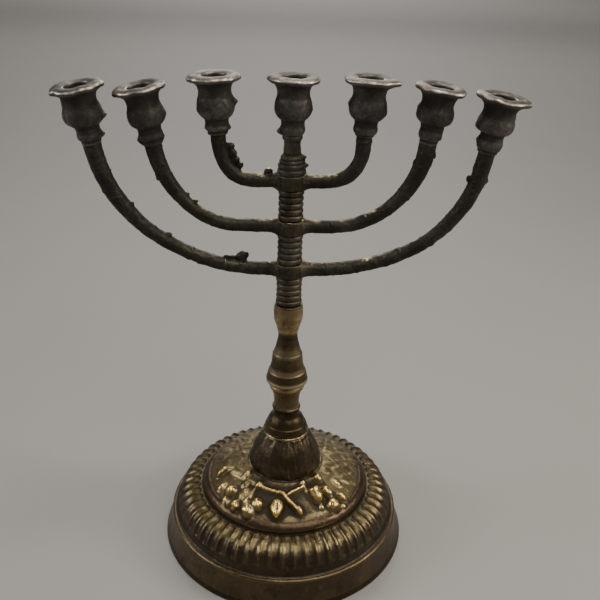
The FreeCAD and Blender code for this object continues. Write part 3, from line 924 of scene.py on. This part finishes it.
def arm_points(spec):
    """Centreline of an arm along +X from the column: points (x, z), headings and distances along it."""
    run, arcs, end = spec
    points, headings = [], []
    here, heading = np.array([0.0, 0.0]), 0.0

    def straight(length):
        nonlocal here
        along = np.array([math.cos(heading), math.sin(heading)])
        count = max(1, round(length / ARM_STEP))
        for k in range(count):
            points.append(here + along * length * k / count)
            headings.append(heading)
        here = here + along * length

    straight(run)
    for radius, turn in arcs:
        centre = here + radius * np.array([-math.sin(heading), math.cos(heading)])
        count = max(2, round(radius * math.radians(turn) / ARM_STEP))
        start = heading
        for k in range(count):
            heading = start + math.radians(turn) * k / count
            points.append(centre + radius * np.array([math.sin(heading), -math.cos(heading)]))
            headings.append(heading)
        heading = start + math.radians(turn)
        here = centre + radius * np.array([math.sin(heading), -math.cos(heading)])
    straight(end)
    points.append(here)
    headings.append(heading)
    points, headings = np.array(points), np.array(headings)
    runs = np.concatenate([[0], np.cumsum(np.linalg.norm(np.diff(points, axis=0), axis=1))])
    return points, headings, runs


def tube(points, headings, radii, sides):
    """Closed round tube along (x, z) points, its ends closed by a centre point each."""
    angles = TAU * np.arange(sides) / sides
    across = np.stack([-np.sin(headings), np.zeros(len(headings)), np.cos(headings)], 1)
    centres = np.stack([points[:, 0], np.zeros(len(points)), points[:, 1]], 1)
    radii = radii[:, None, None]
    upright = radii * np.cos(angles)[None, :, None] * across[:, None, :]
    level = radii * np.sin(angles)[None, :, None] * np.array([0.0, 1.0, 0.0])
    rings = centres[:, None, :] + upright + level
    count = len(points)
    corner = np.arange(count * sides).reshape(count, sides)
    a, b = corner[:-1], corner[1:]
    quads = np.stack([a, np.roll(a, -1, 1), np.roll(b, -1, 1), b], -1).reshape(-1, 4).tolist()
    first, last = count * sides, count * sides + 1
    caps = [[first, int(q), int(p)] for p, q in zip(corner[0], np.roll(corner[0], -1))]
    caps += [[last, int(p), int(q)] for p, q in zip(corner[-1], np.roll(corner[-1], -1))]
    return np.vstack([rings.reshape(-1, 3), centres[:1], centres[-1:]]), quads + caps


def blob(centre, half_sizes, seed):
    """A small uneven ball of metal."""
    outline = dense_outline([(0, -1), (1, 0, 0, 1)], 0.2)
    points, faces = lathe(outline, 18)
    points = points * (1 + 0.18 * smooth_noise(points, 0.8, seed))[:, None]
    return points * np.array(half_sizes) + np.array(centre), faces


def arm_tube(spec, radii, sign):
    """One arm as a tapered tube that flares into the hub, with the cup's spigot at its end."""
    flare, spigot_length, spigot_radius, root, sides = 1.7, 5.0, 2.5, 3.2, 40
    points, headings, runs = arm_points(spec)
    radius = np.interp(runs / runs[-1], RADIUS_STOPS, radii)
    radius = radius + flare * np.exp(-(np.maximum(0, points[:, 0] - HUB_RADIUS + 1.2) / 2.0) ** 1.4)
    tip = np.array([math.cos(headings[-1]), math.sin(headings[-1])])
    points = np.vstack([points, points[-1], points[-1] + spigot_length * tip])
    headings = np.append(headings, [headings[-1]] * 2)
    radius = np.append(radius, [spigot_radius] * 2)
    keep = points[:, 0] > root
    shape, faces = tube(points[keep], headings[keep], radius[keep], sides)
    if sign < 0:
        shape = shape * np.array([-1, -1, 1])
    return shape, faces


def lump_on(spec, radii, sign, place, half_sizes, seed):
    """A lump at place (x, z) with a root that joins it to the arm's surface."""
    points, _, runs = arm_points(spec)
    centreline = points * np.array([sign, 1])
    gaps = np.linalg.norm(centreline - np.array(place), axis=1)
    near = int(np.argmin(gaps))
    radius = np.interp(runs[near] / runs[-1], RADIUS_STOPS, radii)
    shapes = []
    stops = np.linspace(1.0, min(1.0, 0.8 * radius / max(gaps[near], 0.1)), 3)
    for k, stop in enumerate(stops):
        x, z = centreline[near] + (np.array(place) - centreline[near]) * stop
        grown = np.array(half_sizes) * (1 - 0.12 * k) + (0.0, 0.0, 0.2 * k)
        shapes.append(blob((x, 0.2, z), grown, seed + k))
    return shapes


def joined(parts):
    """Several (points, faces) shapes as one."""
    faces, count = [], 0
    for points, own in parts:
        faces += [[corner + count for corner in face] for face in outward(points, own)]
        count += len(points)
    return np.vstack([points for points, _ in parts]), faces


def fused(name, parts, voxel):
    """The shapes melted into one closed casting by a voxel remesh."""
    points, faces = joined(parts)
    raw = to_object(name + "_raw", points, faces)
    remesh = raw.modifiers.new("melt", "REMESH")
    remesh.mode = "VOXEL"
    remesh.voxel_size = voxel * MM
    remesh.adaptivity = 0.0
    soften = raw.modifiers.new("soften", "SMOOTH")
    soften.factor = 0.5
    soften.iterations = 4
    graph = bpy.context.evaluated_depsgraph_get()
    mesh = bpy.data.meshes.new_from_object(raw.evaluated_get(graph))
    mesh.name = name
    obj = bpy.data.objects.new(name, mesh)
    bpy.context.scene.collection.objects.link(obj)
    spare = raw.data
    bpy.data.objects.remove(raw)
    bpy.data.meshes.remove(spare)
    mesh.polygons.foreach_set("use_smooth", np.ones(len(mesh.polygons), bool))
    return obj


def branch(ring):
    """One casting: hub with a left and a right arm, rough from the mould."""
    node = ring + "_branch"
    spec = BRANCHES[ring]
    bottom = foot_of(node)
    hub = dense_outline(
        [
            (ROD_HOLE_RADIUS, 0), (HUB_RADIUS - 0.4, 0), (HUB_RADIUS, 0.5),
            (HUB_RADIUS + 0.25, HUB_HEIGHT / 2, HUB_RADIUS, HUB_HEIGHT - 0.5),
            (HUB_RADIUS - 0.4, HUB_HEIGHT), (ROD_HOLE_RADIUS, HUB_HEIGHT),
        ],
        0.5,
    )
    hub_shape, hub_faces = lathe(hub, 96)
    parts = [(hub_shape - np.array([0, 0, HUB_HEIGHT / 2]), hub_faces)]
    for side, sign in SIDES.items():
        parts.append(arm_tube(spec[side], spec["radii"][side], sign))
    seed, lump_seed = spec["seeds"]
    for k, (lump_place, sizes) in enumerate(spec["lumps"]):
        side = "left" if lump_place[0] < 0 else "right"
        arm = (spec[side], spec["radii"][side], SIDES[side])
        parts += lump_on(*arm, lump_place, sizes, lump_seed + 5 * k)
    obj = fused(node + "_cast", parts, CAST_VOXEL)
    points, normals = mesh_points(obj), mesh_normals(obj)
    r = axis_distance(points)
    rough = 0.4 * rough_noise(points, 6.5, 3, seed) + 0.2 * rough_noise(points, 1.7, 2, seed + 9)
    rough += 0.4 * ramp(smooth_noise(points, 2.2, seed + 17), 0.45, 0.95)
    shown = ramp(r, ROD_HOLE_RADIUS + 0.4, ROD_HOLE_RADIUS + 3) * ramp(r, 0, 7.0)
    flat = ramp(np.abs(np.abs(points[:, 2]) - HUB_HEIGHT / 2), 0.0, 0.5)
    shown = shown * np.where(r < HUB_RADIUS + 0.3, flat, 1)
    points = points + normals * (rough * shown)[:, None]
    set_points(obj, points + np.array([0, 0, bottom + HUB_HEIGHT / 2]))
    # Painted highlight: upward-facing surfaces of the arms are made lighter and barer in patches, as if lit
    # from above. This applies within about 85 mm of the axis and is strongest inside 45 mm.
    patches = 0.35 + 0.65 * ramp(smooth_noise(points, 7.0, seed + 23), -0.4, 0.5)
    top_highlight = ramp(normals[:, 2], 0.4, 0.85) * ramp(np.abs(points[:, 0]), 85.0, 45.0) * patches
    mark_relief(obj, 14, 0.4, 0.54 * top_highlight - 0.2)
    return place(obj, [node], "branch_brass", BRANCH_BRASS)


for ring_name in BRANCHES:
    branch(ring_name)


# ---------------------------------------------------------------- candle cups

CUP_HEIGHT = 29.0
CANDLE_HOLE_RADIUS = 6.2
CANDLE_HOLE_DEPTH = 17.0
STUD_HOLE_RADIUS, STUD_HOLE_DEPTH = 2.55, 6.0
# What the caster left different on each cup: forward tilt in degrees, how far the foot's step and the
# waist sit above their usual heights, how much taller and how much slimmer below the bowl it is,
# pulled-out points of the rim and lumps on the wall. A point is (angle, pull, droop); a lump is (angle,
# height, pull, width). Angles run from +X.
CUP_MARKS = {
    "centre": {
        "tilt": 1.0, "waist": (0.0, 0.8),
        "tips": [(200, 0.2, 0)],
        "lumps": [(192, 1.6, 2.0, 2.0), (355, 13.0, 0.4, 2.0)],
    },
    "left_outer": {
        "tilt": 5.0, "waist": (1.8, 2.0), "tall": 1.0,
        "tips": [(195, 1.1, 1.0), (352, 1.2, -0.5)],
        "lumps": [(4, 12.6, 1.9, 1.7), (8, 3.4, 1.5, 2.0), (190, 14.5, 1.3, 6.0), (200, 21.0, 1.0, 3.0)],
    },
    "left_middle": {
        "tilt": 3.5, "waist": (2.2, 2.1), "tall": 0.7,
        "tips": [(190, 0.9, 0.7)],
        "lumps": [(184, 2.2, 2.1, 2.0), (2, 2.2, 1.3, 1.6), (0, 14.0, 0.8, 2.4)],
    },
    "left_inner": {
        "tilt": 2.0, "waist": (1.5, 0.9), "tall": 0.4,
        "tips": [(185, 0.6, 0.2), (355, 0.5, 0)],
        "lumps": [(6, 15.6, 1.8, 1.8), (0, 2.4, 0.8, 1.5), (185, 12.0, 0.4, 2.0)],
    },
    "right_inner": {
        "tilt": 2.0, "waist": (0.6, 1.0), "slim": 0.2,
        "tips": [(352, 2.4, 0), (180, 0.5, 0)],
        "lumps": [(180, 16.0, 0.7, 2.0), (355, 12.0, 0.5, 2.5)],
    },
    "right_middle": {
        "tilt": 2.0, "waist": (1.8, 3.2), "slim": 0.3,
        "tips": [(300, 0.5, 0)],
        "lumps": [(180, 18.0, 0.6, 1.8), (0, 3.0, 0.5, 1.5), (0, 9.0, 0.6, 2.5)],
    },
    "right_outer": {
        "tilt": 3.0, "waist": (1.2, 3.2), "slim": -0.2,
        "tips": [(355, 1.9, 0.4), (175, 0.5, 0)],
        "lumps": [(180, 12.0, 1.0, 2.4), (180, 6.0, 0.9, 2.0), (0, 20.0, 0.7, 2.0)],
    },
}


def cup_shape(marks, seed):
    """One cup on the origin, and which of its points are on the rounded lip."""
    hole_bottom = CUP_HEIGHT - CANDLE_HOLE_DEPTH
    foot, up = marks["waist"]
    outline = dense_outline(
        [
            (STUD_HOLE_RADIUS, 0), (5.0, 0), (5.1, 0.2 + foot), (5.7, 0.6 + foot),
            (6.4, 2.0 + (foot + up) / 2, 6.25, 3.4 + up), (6.1, 3.9 + up),
            (6.0, 5.2 + up, 6.3, 6.7 + up), (6.6, 7.1 + up), (8.5, 9.2 + 0.75 * up, 9.45, 12.0 + 0.5 * up),
            (9.5, 14.6 + 0.25 * up, 8.8, 18.2),
            (8.2, 20.6, 8.5, 22.7), (9.6, 24.9, 11.8, 26.2), (12.95, 27.4, 12.2, CUP_HEIGHT - 0.2),
            (9.7, CUP_HEIGHT + 0.5, CANDLE_HOLE_RADIUS + 0.7, CUP_HEIGHT - 0.2),
            (CANDLE_HOLE_RADIUS + 0.15, CUP_HEIGHT - 0.6, CANDLE_HOLE_RADIUS, CUP_HEIGHT - 1.3),
            (CANDLE_HOLE_RADIUS, hole_bottom), (0, hole_bottom),
            (0, STUD_HOLE_DEPTH), (STUD_HOLE_RADIUS, STUD_HOLE_DEPTH),
        ],
        0.45,
    )
    points, faces = lathe(outline, 136)
    r = np.maximum(axis_distance(points), 1e-6)
    angle = np.arctan2(points[:, 1], points[:, 0])
    z = points[:, 2]
    outer = ramp(r, CANDLE_HOLE_RADIUS + 0.2, CANDLE_HOLE_RADIUS + 1.4)
    outer = np.where(z < 8.5, ramp(r, STUD_HOLE_RADIUS + 0.4, STUD_HOLE_RADIUS + 1.8), outer)
    swell = 0.16 * rough_noise(points, 5.0, 3, seed) + 0.07 * rough_noise(points, 1.3, 2, seed + 3)
    around = np.stack([np.cos(angle), np.sin(angle), np.zeros(len(r))], 1)
    swell = swell - marks.get("slim", 0.0) * ramp(z, 11.0, 6.0)
    rim = ramp(z, 23.5, 27.0)
    swell = swell + 0.45 * rim * smooth_noise(around * 3 + seed, 1.0, seed + 7)
    droop = np.zeros(len(r))
    for tip_angle, pull, fall in marks["tips"]:
        near = np.exp((np.cos(angle - math.radians(tip_angle)) - 1) * 22)
        swell = swell + pull * rim * near
        droop = droop - fall * rim * near
    for lump_angle, height, pull, width in marks["lumps"]:
        gap = np.hypot((np.cos(angle - math.radians(lump_angle)) - 1) * 40, (z - height) / width * 1.2)
        swell = swell + pull * np.exp(-(gap**2)) * (r > 4.4)
    lip = ramp(z, 27.0, 28.2) * (r > CANDLE_HOLE_RADIUS + 0.3)
    points = points + around * (swell * outer)[:, None]
    points[:, 2] += marks.get("tall", 0.0) * ramp(z, 3.0, 22.0)
    points[:, 2] += outer * (droop + 0.35 * rim * smooth_noise(around * 2 + 3 * seed, 1.0, seed + 11))
    return points, faces, lip


def candle_cup(label, foot, lean, seed):
    """A cup set on foot (x, z), leaning by an angle in the branches' plane and tilted forwards."""
    marks = CUP_MARKS[label]
    points, faces, lip = cup_shape(marks, seed)
    tilt = Matrix.Rotation(math.radians(marks["tilt"]), 3, "X")
    turn = np.array(Matrix.Rotation(lean, 3, "Y") @ tilt)
    points = points @ turn.T + np.array([foot[0], 0, foot[1]])
    obj = to_object("cup_" + label, points, outward(points, faces))
    mark_relief(obj, 14, 0.45, 0.12 * lip - 0.24 * (1 - lip))
    return place(obj, ["candle_cup_" + label], "cup_brass", CUP_BRASS)


candle_cup("centre", (0, top_of("neck_collar")), 0.0, 500)
for ring_number, ring_name in enumerate(BRANCHES):
    for cup_side, cup_sign in SIDES.items():
        route, bearings, _ = arm_points(BRANCHES[ring_name][cup_side])
        middle_height = foot_of(ring_name + "_branch") + HUB_HEIGHT / 2
        candle_cup(
            cup_side + "_" + ring_name,
            (cup_sign * route[-1][0], middle_height + route[-1][1]),
            cup_sign * (math.pi / 2 - bearings[-1]),
            520 + 10 * ring_number + cup_sign,
        )


# ---------------------------------------------------------------- rod, washer and nut


def threaded_rod():
    """M5 rod: a real thread at its lower end, where the nut sits, and a plain shank above."""
    pitch, depth = 0.8, 0.3
    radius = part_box("tie_rod")[1].x / MM
    low, high = foot_of("tie_rod"), top_of("tie_rod")
    threaded_to = low + 9.0
    thread = dense_run((0, low), [(radius - 0.6, low), (radius, low + 0.5), (radius, threaded_to + 1)], 0.16)
    shank = dense_run(thread[-1], [(radius, high - 0.6), (radius - 0.6, high), (0, high)], 4.0)
    outline = np.vstack([[(0, low)], thread, shank])
    points, faces = lathe(outline, 36)
    angle = np.arctan2(points[:, 1], points[:, 0])
    phase = ((points[:, 2] - low) / pitch - angle / TAU) % 1.0
    groove = depth * np.abs(2 * phase - 1) * ramp(points[:, 2], threaded_to + 0.8, threaded_to)
    r = np.maximum(axis_distance(points), 1e-6)
    points[:, :2] *= (1 - groove * (r > radius - 0.7) / r)[:, None]
    obj = to_object("tie_rod_threaded", points, outward(points, faces))
    return place(obj, ["tie_rod"], "rod_steel", ROD_STEEL)


threaded_rod()
for steel_node in ("rod_washer", "rod_nut"):
    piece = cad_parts[steel_node]
    piece.data.materials.clear()
    piece.data.materials.append(ROD_STEEL)


# ---------------------------------------------------------------- floor, light and camera


def stage_floor():
    """A large pale board, wide enough to reach the horizon on every side."""
    size, height = 12000.0, -0.02
    corners = [(-size, -size, height), (size, -size, height), (size, size, height), (-size, size, height)]
    floor = to_object("floor", corners, [[0, 1, 2, 3]])
    floor.data.materials.append(pale_floor())


def soft_light(name, place, aim, size, power, tint):
    """A square softbox at place (metres) that faces aim."""
    lamp = bpy.data.lights.new(name, "AREA")
    lamp.size = size
    lamp.energy = power
    lamp.color = tint
    obj = bpy.data.objects.new(name, lamp)
    obj.location = place
    obj.rotation_euler = (Vector(aim) - Vector(place)).to_track_quat("-Z", "Y").to_euler()
    bpy.context.scene.collection.objects.link(obj)


def studio():
    """Softboxes above, in front, behind and at both sides, in a dim room."""
    world = bpy.data.worlds.new("studio")
    world.use_nodes = True
    background = world.node_tree.nodes["Background"]
    background.inputs["Color"].default_value = (0.6, 0.58, 0.55, 1)
    background.inputs["Strength"].default_value = 0.37
    bpy.context.scene.world = world
    soft_light("above", (0.12, -0.04, 0.95), (0, 0, 0.05), 0.22, 2.8, (1.0, 0.95, 0.88))
    soft_light("front_top", (0.3, -0.5, 0.9), (0, 0, 0.1), 0.4, 2.2, (1.0, 0.94, 0.87))
    soft_light("back_top", (-0.1, 0.75, 1.1), (0, 0, 0.2), 0.3, 1.5, (1.0, 0.97, 0.9))
    soft_light("back_wall", (0.0, 2.0, 1.7), (0, 0, 0.1), 2.2, 23.0, (1.0, 0.97, 0.92))
    soft_light("left", (-1.0, -0.1, 0.6), (0, 0, 0.15), 0.35, 4.6, (0.97, 0.98, 1.0))
    soft_light("right", (0.85, -0.1, 0.6), (0, 0, 0.12), 0.35, 5.0, (1.0, 0.92, 0.82))
    soft_light("far_ceiling", (0.0, 5.4, 2.4), (0, 5.4, 0), 2.5, 80, (1.0, 0.98, 0.95))


CAMERA_PLACE = (0.0002, -0.3819, 0.3433)
CAMERA_PITCH, CAMERA_YAW, CAMERA_ROLL = 25.76, 0.92, 1.74
CAMERA_LENS = 45.2


def camera():
    """The camera in front of the menorah, a little above its cups and looking down."""
    pitch, yaw, roll = (math.radians(a) for a in (CAMERA_PITCH, CAMERA_YAW, CAMERA_ROLL))
    forward = Vector((math.sin(yaw) * math.cos(pitch), math.cos(yaw) * math.cos(pitch), -math.sin(pitch)))
    right = Vector((math.cos(yaw), -math.sin(yaw), 0))
    up = right.cross(forward)
    side = right * math.cos(roll) + up * math.sin(roll)
    top = up * math.cos(roll) - right * math.sin(roll)
    lens = bpy.data.cameras.new("camera")
    lens.lens = CAMERA_LENS
    lens.clip_start = 0.01
    obj = bpy.data.objects.new("camera", lens)
    turn = Matrix((side, top, -forward)).transposed().to_4x4()
    obj.matrix_world = Matrix.Translation(CAMERA_PLACE) @ turn
    bpy.context.scene.collection.objects.link(obj)
    bpy.context.scene.camera = obj


stage_floor()
studio()
camera()
